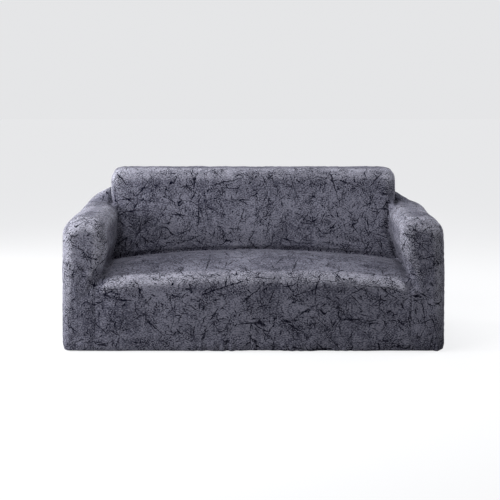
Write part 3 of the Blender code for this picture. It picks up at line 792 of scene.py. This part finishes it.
TWIG_LAYERS = (
    {"Turn": 0.45, "Cell": 0.110, "Stretch": 1.8, "Width": 0.0028, "Kept": 0.47, "Offset": 3.1},
    {"Turn": 1.95, "Cell": 0.085, "Stretch": 2.2, "Width": 0.0025, "Kept": 0.47, "Offset": 17.6},
)
STROKE_LAYERS = (
    {"Cell": 0.190, "Length": 0.150, "Width": 0.0031, "Branch": 0.60, "Kept": 0.90, "Offset": 5.3},
    {"Cell": 0.150, "Length": 0.115, "Width": 0.0027, "Branch": 0.50, "Kept": 0.85, "Offset": 23.9},
    {"Cell": 0.105, "Length": 0.072, "Width": 0.0026, "Branch": 0.55, "Kept": 0.85, "Offset": 61.7},
    {"Cell": 0.070, "Length": 0.044, "Width": 0.0024, "Branch": 0.55, "Kept": 0.85, "Offset": 83.4},
    {"Cell": 0.048, "Length": 0.027, "Width": 0.0023, "Branch": 0.45, "Kept": 0.80, "Offset": 97.8},
    {"Cell": 0.030, "Length": 0.014, "Width": 0.0022, "Branch": 0.30, "Kept": 0.65, "Offset": 31.3},
)
FADE_SIZE, FADE_NOISE, INK_LEFT = 0.012, Band(0.30, 0.55), Band(0.75, 1.0)
HEATHER_SHARE, SLOW_SHARE, MOTTLE = 0.60, 0.20, Band(0.40, 0.60)
ROUGH_NOISE, ROUGHNESS, INK_ROUGHNESS = Band(0.30, 0.70), Band(0.86, 0.98), 0.95
HEATHER_RAISED, BUMP_STRENGTH, BUMP_DISTANCE = 0.4, 0.30, 0.0005
SHEEN, SHEEN_ROUGHNESS, SHEEN_TINT = 0.08, 0.45, (0.80, 0.80, 0.92, 1)
SPECULAR = 0.06
MAP = "cloth"
# The point attribute that carries the stretched paling and painted highlight of the roundings
EDGE_PULL_AND_HIGHLIGHT = "edge_pull_and_highlight"

jersey = bpy.data.materials.new("printed_jersey")
jersey.use_nodes = True
tree = jersey.node_tree
shader = tree.nodes["Principled BSDF"]
flat = add_node(tree, "ShaderNodeUVMap", uv_map=MAP).outputs[0]
ink = add_node(tree, "ShaderNodeGroup", node_tree=specks)
tree.links.new(flat, ink.inputs["Place"])
ink = ink.outputs["Ink"]
for group, layers in ((twigs, TWIG_LAYERS), (strokes, STROKE_LAYERS)):
    for layer in layers:
        drawn = add_node(tree, "ShaderNodeGroup", node_tree=group)
        tree.links.new(flat, drawn.inputs["Place"])
        for label, value in layer.items():
            drawn.inputs[label].default_value = value
        ink = math_node(tree, "MAXIMUM", ink, drawn.outputs["Ink"])
faded = rise(tree, noise(tree, flat, 1 / FADE_SIZE, 2.0), *FADE_NOISE, *INK_LEFT)
ink = math_node(tree, "MULTIPLY", ink, faded)
marl = vector_node(tree, "DIVIDE", flat, units(tree, 2 * HEATHER_SIZE, HEATHER_SIZE))
heather = noise(tree, marl, 1.0, 3.0)
worn = noise(tree, flat, 1 / WORN_SIZE, 2.0)
clouds = noise(tree, flat, 1 / CLOUD_SIZE, 2.0)
slow = math_node(tree, "MULTIPLY", math_node(tree, "ADD", worn, clouds), SLOW_SHARE)
pale = math_node(tree, "ADD", math_node(tree, "MULTIPLY", heather, HEATHER_SHARE), slow)
mottle = rise(tree, pale, *MOTTLE)
ground = mixed(tree, mottle, GROUND, GROUND_PALE)
stretched = mixed(tree, mottle, STRETCHED_HIGHLIT, STRETCHED_HIGHLIT_PALE)
# Painted highlight: the ground is made paler over the roundings, partly as stretched knit and partly as light
# painted onto them
stretched_and_highlit = add_node(tree, "ShaderNodeAttribute", attribute_name=EDGE_PULL_AND_HIGHLIGHT).outputs["Fac"]
ground = mixed(tree, math_node(tree, "MULTIPLY", stretched_and_highlit, STRETCHED_HIGHLIT_SHARE), ground, stretched)
colour = mixed(tree, ink, ground, INK)
tree.links.new(colour, shader.inputs["Base Color"])
rough = rise(tree, heather, *ROUGH_NOISE, *ROUGHNESS)
rough = math_node(tree, "MAXIMUM", rough, math_node(tree, "MULTIPLY", ink, INK_ROUGHNESS))
tree.links.new(rough, shader.inputs["Roughness"])
ribbed = add_node(tree, "ShaderNodeGroup", node_tree=knit)
tree.links.new(flat, ribbed.inputs["Place"])
raised = math_node(tree, "MULTIPLY", heather, HEATHER_RAISED)
raised = math_node(tree, "ADD", raised, ribbed.outputs["Height"])
bumps = {"Height": raised, "Strength": BUMP_STRENGTH, "Distance": BUMP_DISTANCE}
tree.links.new(add_node(tree, "ShaderNodeBump", bumps).outputs[0], shader.inputs["Normal"])
shader.inputs["Sheen Weight"].default_value = SHEEN
shader.inputs["Sheen Roughness"].default_value = SHEEN_ROUGHNESS
shader.inputs["Sheen Tint"].default_value = SHEEN_TINT
shader.inputs["Specular IOR Level"].default_value = SPECULAR


# ---- The seven panels, cut out and sewn -------------------------------------------------------------
# The jersey is cut into seven panels, sewn edge to edge with their turnings inside, and the hem is drawn in
# by narrow elastic. Each panel is a sheet 2 mm thick that stands for its solid.

CLOTH = 0.002
SEAM_GAP, DRAWN_BACK = 0.00004, 0.6
SHARP_EDGE = np.radians(50)
EDGE_ROUNDS = 80
EDGE_STANDS, EDGE_HIGHLIGHT_RISES = Band(0.0005, 0.0045), Band(0.050, 0.300)
Panel = namedtuple("Panel", "home_axis home_place print_shift flat area rests_on")

# Each is unfolded from its home plane, and cut to its flat width, length and area before it is stretched
PANELS = {
    "seat_and_apron": Panel(1, FRONT_Y, (0.00, 0.00), (1.19, 0.89), 1.05, "arm_wrap_left"),
    "arm_front_left": Panel(1, FRONT_Y, (2.31, 1.17), (0.285, 0.620), 0.113, "arm_wrap_left"),
    "arm_front_right": Panel(1, FRONT_Y, (4.73, 0.39), (0.285, 0.620), 0.113, "arm_wrap_right"),
    "arm_wrap_left": Panel(2, ARM_HEIGHT, (1.57, 3.61), (0.980, 0.625), 0.540, "seat_and_apron"),
    "arm_wrap_right": Panel(2, ARM_HEIGHT, (6.11, 2.93), (0.980, 0.625), 0.540, "seat_and_apron"),
    "inside_back": Panel(1, BACK_Y, (3.29, 5.83), (1.600, 0.552), 0.639, "seat_and_apron"),
    "outside_back": Panel(1, REAR_Y, (7.77, 7.07), (1.647, 0.770), 1.129, "inside_back"),
}


def drawn_back(points, normals, rim):
    """Points with each cut edge drawn back from its seam, by a little over half of the gap."""
    a, b = rim.T
    across = np.cross(normals[a] + normals[b], points[b] - points[a])
    across /= np.linalg.norm(across, axis=1)[:, None]
    inward = np.zeros_like(points)
    np.add.at(inward, a, across)
    np.add.at(inward, b, across)
    length = np.linalg.norm(inward, axis=1)
    inward /= np.where(length > 0, length, 1)[:, None]
    return points + inward * SEAM_GAP * DRAWN_BACK


def flat_map(panel, own):
    """Where each corner of a panel's patches lies on the flat cloth, unfolded from the home plane."""
    corners, axes, ways = stepped[patches[own]], facing[own, 0], facing[own, 1]
    depth = np.abs(corners[:, :, panel.home_axis] - panel.home_place)
    across, along = [axis for axis in range(3) if axis != panel.home_axis]
    unfolded = []
    for axis, shift in ((across, panel.print_shift[0]), (along, panel.print_shift[1])):
        turned_over = np.where(axes == axis, ways, 0)[:, None]
        unfolded.append(corners[:, :, axis] + turned_over * depth + shift)
    return np.stack(unfolded, axis=2)


relief *= smoothstep(-HEM_TOP, HEM_TOP, z)
# How far each point stands out over a rounding, faded out low down: where the stretched paling and the
# painted highlight go, brightest on the upper edges
standing_out = ((skin - relaxed(skin, EDGE_ROUNDS, RELAX_SHARE)) * skin_normals(skin)).sum(axis=1)
edge_pull_and_highlight = smoothstep(*EDGE_STANDS, standing_out) * smoothstep(*EDGE_HIGHLIGHT_RISES, z)
sewn = skin + relief[:, None] * skin_normals(skin)
sewn[:, 2] -= sewn[:, 2].min() - cad_low[2]
sewn_normals = skin_normals(sewn)
for name, panel in PANELS.items():
    own = np.flatnonzero(panel_names == name)
    used, loops = np.unique(patches[own], return_inverse=True)
    loops = loops.reshape(-1, 4)
    sides = np.stack([loops, np.roll(loops, -1, axis=1)], axis=2).reshape(-1, 2)
    codes = sides[:, 0] * len(used) + sides[:, 1]
    rim = sides[~np.isin(codes, sides[:, 1] * len(used) + sides[:, 0])]
    points = drawn_back(sewn[used], sewn_normals[used], rim)
    inner = points - CLOTH * sewn_normals[used]
    outer_map = flat_map(panel, own)
    map_of = np.zeros((len(used), 2))
    map_of[loops.ravel()] = outer_map.reshape(-1, 2)
    a, b = rim.T
    cut_edge = np.column_stack([b, a, a + len(used), b + len(used)])
    mesh = bpy.data.meshes.new(name + "_cloth")
    closed = np.concatenate([loops, loops[:, ::-1] + len(used), cut_edge])
    mesh.from_pydata(np.concatenate([points, inner]).tolist(), [], closed.tolist())
    layer = mesh.uv_layers.new(name=MAP)
    edge_map = map_of[np.column_stack([b, a, a, b])]
    layer.data.foreach_set("uv", np.concatenate([outer_map, outer_map[:, ::-1], edge_map]).ravel())
    mesh.attributes.new(EDGE_PULL_AND_HIGHLIGHT, "FLOAT", "POINT").data.foreach_set("value", np.tile(edge_pull_and_highlight[used], 2))
    mesh.materials.append(jersey)
    mesh.shade_smooth()
    mesh.set_sharp_from_angle(angle=SHARP_EDGE)
    piece = bpy.data.objects.new(name + "_cloth", mesh)
    bpy.context.scene.collection.objects.link(piece)
    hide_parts(name)
    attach(piece, "root")


# ---- Camera, floor and light ------------------------------------------------------------------------
# A long lens from a little above the arms, a plain pale floor at the hem, and broad soft lamps, the strongest
# of them on the left.

CAMERA_PLACE = (0.0, -6.37, 1.3326)
CAMERA_TILT = 0.1456
LENS, SENSOR = 98.83, 36
SIDE_SHIFT = -0.0067
FLOOR_DROP = 0.002
FLOOR_SIZE = 40
FLOOR_COLOUR = (0.35, 0.35, 0.35, 1)
FLOOR_SEEN_COLOUR = (0.16, 0.16, 0.16, 1)
FLOOR_ROUGHNESS = 0.9
BACKDROP = (0.98, 0.985, 1.0, 1)
BACKDROP_GLOW = 0.80
FILL_STRENGTH = 0.06
Lamp = namedtuple("Lamp", "place size power")
LAMP_AIM = Vector((0, 0, 0.35))
LAMPS = {
    "front_left": Lamp((-1.5, -2.0, 2.8), 1.5, 60),
    "left": Lamp((-3.2, -0.9, 1.2), 1.2, 138),
    "above": Lamp((0.0, -0.2, 3.2), 1.2, 34),
    "near_right": Lamp((1.3, -0.9, 2.0), 0.6, 8),
    "rear_left": Lamp((-2.6, 1.6, 1.6), 1.2, 56),
    "rear": Lamp((0.0, 2.0, 2.8), 1.5, 25),
    "right": Lamp((3.0, 1.0, 1.4), 1.4, 38),
}

camera = bpy.data.objects.new("camera", bpy.data.cameras.new("camera"))
camera.location = CAMERA_PLACE
camera.rotation_euler = (np.pi / 2 - CAMERA_TILT, 0, 0)
camera.data.lens = LENS
camera.data.sensor_width = SENSOR
camera.data.shift_x = SIDE_SHIFT
bpy.context.scene.collection.objects.link(camera)
bpy.context.scene.camera = camera

bpy.ops.object.select_all(action="DESELECT")
bpy.ops.mesh.primitive_plane_add(size=FLOOR_SIZE, location=(0, 0, cad_low[2] - FLOOR_DROP))
floor = bpy.context.object
floor.name = "floor"
paint = bpy.data.materials.new("pale_floor")
paint.use_nodes = True
finish = paint.node_tree.nodes["Principled BSDF"]
finish.inputs["Roughness"].default_value = FLOOR_ROUGHNESS
finish.inputs["Emission Color"].default_value = BACKDROP
seen = add_node(paint.node_tree, "ShaderNodeLightPath").outputs["Is Camera Ray"]
lit = mixed(paint.node_tree, seen, FLOOR_COLOUR, FLOOR_SEEN_COLOUR)
paint.node_tree.links.new(lit, finish.inputs["Base Color"])
glow = math_node(paint.node_tree, "MULTIPLY", seen, BACKDROP_GLOW)
paint.node_tree.links.new(glow, finish.inputs["Emission Strength"])
floor.data.materials.append(paint)

world = bpy.data.worlds.new("studio")
world.use_nodes = True
sky = world.node_tree
seen = add_node(sky, "ShaderNodeLightPath").outputs["Is Camera Ray"]
strength = rise(sky, seen, 0.0, 1.0, FILL_STRENGTH, BACKDROP_GLOW)
sky.nodes["Background"].inputs["Color"].default_value = BACKDROP
sky.links.new(strength, sky.nodes["Background"].inputs["Strength"])
bpy.context.scene.world = world

for name, lamp in LAMPS.items():
    light = bpy.data.lights.new(name, "AREA")
    light.size = lamp.size
    light.energy = lamp.power
    stand = bpy.data.objects.new(name, light)
    stand.location = lamp.place
    stand.rotation_euler = (LAMP_AIM - Vector(lamp.place)).to_track_quat("-Z", "Y").to_euler()
    bpy.context.scene.collection.objects.link(stand)

bpy.context.scene.view_settings.view_transform = "Standard"
